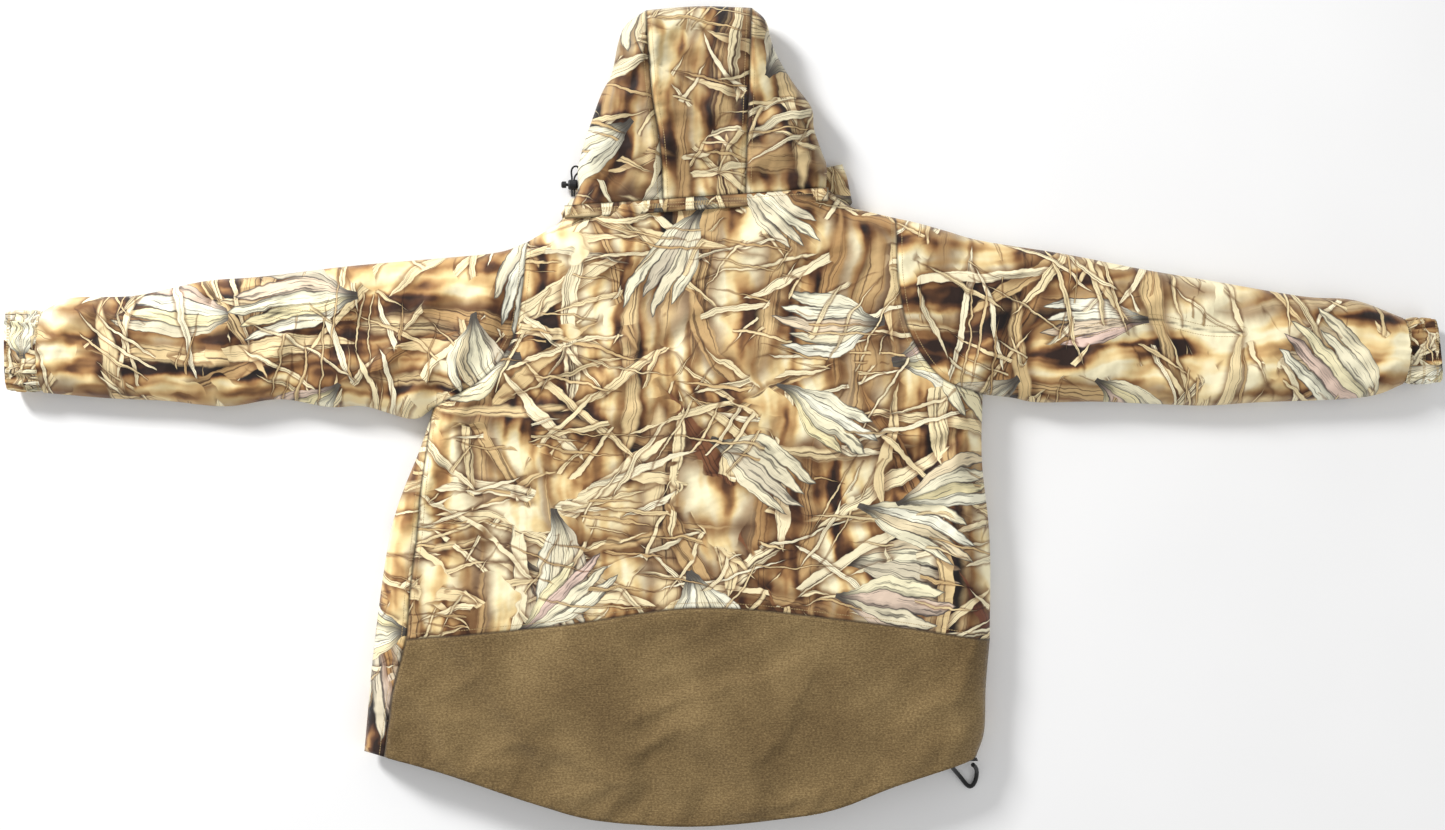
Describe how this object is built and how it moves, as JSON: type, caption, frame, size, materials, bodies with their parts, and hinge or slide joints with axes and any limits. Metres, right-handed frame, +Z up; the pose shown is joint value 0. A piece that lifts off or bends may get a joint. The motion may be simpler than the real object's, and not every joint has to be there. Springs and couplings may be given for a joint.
{
  "type": "hooded field jacket",
  "caption": "Hooded insulated camouflage field parka with drop tail, lying front down, with folding hood and sleeves, sliding front zip, pocket flaps and cord locks.",
  "frame": {"origin": "middle of the jacket's footprint, on the surface it lies on", "axes": "+X towards the wearer's right sleeve, +Y from hem to hood, +Z up off the surface, out of the jacket's back"},
  "size_m": [1.802, 1.028, 0.058],
  "materials": {
    "print": null,
    "tail_cloth": "plain brown canvas-like cloth",
    "lining": "dark brown quilted taffeta over padding",
    "tape": "woven tape",
    "knit": "black rib knit",
    "black_cord": "braided elastic cord",
    "black_plastic": "moulded black plastic",
    "brass": "antiqued"
  },
  "bodies": {
    "torso": {"back_panel": "print", "drop_tail": "tail_cloth", "back_liner": "lining", "left_front_panel": "print", "right_front_panel": "print", "left_front_liner": "lining", "right_front_liner": "lining", "left_side_panel": "print", "right_side_panel": "print", "neck_band": "print", "collar_left": "print", "collar_right": "print", "hanger_loop": "tape", "size_label": "tape", "left_zip_tape": "tape", "right_zip_tape": "tape", "zip_bottom_stop": "brass", "draft_flap": "lining", "left_cargo_pocket": "print", "right_cargo_pocket": "print", "left_pocket_stud": "brass", "right_pocket_stud": "brass", "left_sleeve_head": "print", "right_sleeve_head": "print", "hem_cord_tab": "black_cord", "hem_cord_lock": "black_plastic", "hem_cord_loop": "black_cord"},
    "hood": {"hood_left_panel": "print", "hood_right_panel": "print", "hood_centre_panel": "print", "hood_brim": "print", "hood_liner": "lining", "hood_left_cord_lock": "black_plastic", "hood_right_cord_lock": "black_plastic", "hood_left_cord": "black_cord", "hood_right_cord": "black_cord"},
    "left_upper_arm": {"left_upper_sleeve": "print", "left_upper_sleeve_liner": "lining"},
    "left_lower_arm": {"left_forearm": "print", "left_forearm_liner": "lining", "left_cuff": "print", "left_storm_cuff": "knit"},
    "right_upper_arm": {"right_upper_sleeve": "print", "right_upper_sleeve_liner": "lining"},
    "right_lower_arm": {"right_forearm": "print", "right_forearm_liner": "lining", "right_cuff": "print", "right_storm_cuff": "knit"},
    "zip_slider": {"zip_slider": "brass"},
    "zip_pull": {"zip_pull": "brass"},
    "left_flap": {"left_pocket_flap": "print", "left_flap_snap": "brass"},
    "right_flap": {"right_pocket_flap": "print", "right_flap_snap": "brass"},
    "hood_left_button": {"hood_left_lock_button": "black_plastic"},
    "hood_right_button": {"hood_right_lock_button": "black_plastic"},
    "hem_button": {"hem_lock_button": "black_plastic"}
  },
  "joints": [
    {"name": "hood_fold", "type": "hinge", "parent": "torso", "child": "hood", "pos_m": [-0.19, 0.262, 0.0605], "axis": [-0.9976, -0.0686, 0], "range_deg": [-165, 0]},
    {"name": "left_shoulder_fold", "type": "hinge", "parent": "torso", "child": "left_upper_arm", "pos_m": [-0.2673, 0.2115, 0.051], "axis": [0.4633, 0.8862, 0], "range_deg": [0, 130]},
    {"name": "right_shoulder_fold", "type": "hinge", "parent": "torso", "child": "right_upper_arm", "pos_m": [0.235, 0.2405, 0.051], "axis": [0.4439, -0.8961, 0], "range_deg": [0, 130]},
    {"name": "left_elbow_fold", "type": "hinge", "parent": "left_upper_arm", "child": "left_lower_arm", "pos_m": [-0.56, 0.097, 0.0465], "axis": [0, -1, 0], "range_deg": [-150, 0]},
    {"name": "right_elbow_fold", "type": "hinge", "parent": "right_upper_arm", "child": "right_lower_arm", "pos_m": [0.545, 0.0975, 0.0465], "axis": [0, 1, 0], "range_deg": [-150, 0]},
    {"name": "zip_travel", "type": "slide", "parent": "torso", "child": "zip_slider", "axis": [0, -1, 0], "range_m": [0, 0.705]},
    {"name": "zip_pull_swing", "type": "hinge", "parent": "zip_slider", "child": "zip_pull", "pos_m": [-0.02, 0.2987, 0.0052], "axis": [1, 0, 0], "range_deg": [0, 120]},
    {"name": "left_flap_lift", "type": "hinge", "parent": "torso", "child": "left_flap", "pos_m": [-0.215, -0.128, 0.0034], "axis": [1, 0, 0], "range_deg": [0, 120]},
    {"name": "right_flap_lift", "type": "hinge", "parent": "torso", "child": "right_flap", "pos_m": [0.17, -0.128, 0.0034], "axis": [1, 0, 0], "range_deg": [0, 120]},
    {"name": "hood_left_button_press", "type": "slide", "parent": "hood", "child": "hood_left_button", "axis": [1, 0, 0], "range_m": [0, 0.0025], "stiffness_N_per_m": 500},
    {"name": "hood_right_button_press", "type": "slide", "parent": "hood", "child": "hood_right_button", "axis": [1, 0, 0], "range_m": [0, 0.0025], "stiffness_N_per_m": 500},
    {"name": "hem_button_press", "type": "slide", "parent": "torso", "child": "hem_button", "axis": [1, 0, 0], "range_m": [0, 0.0025], "stiffness_N_per_m": 500}
  ]
}
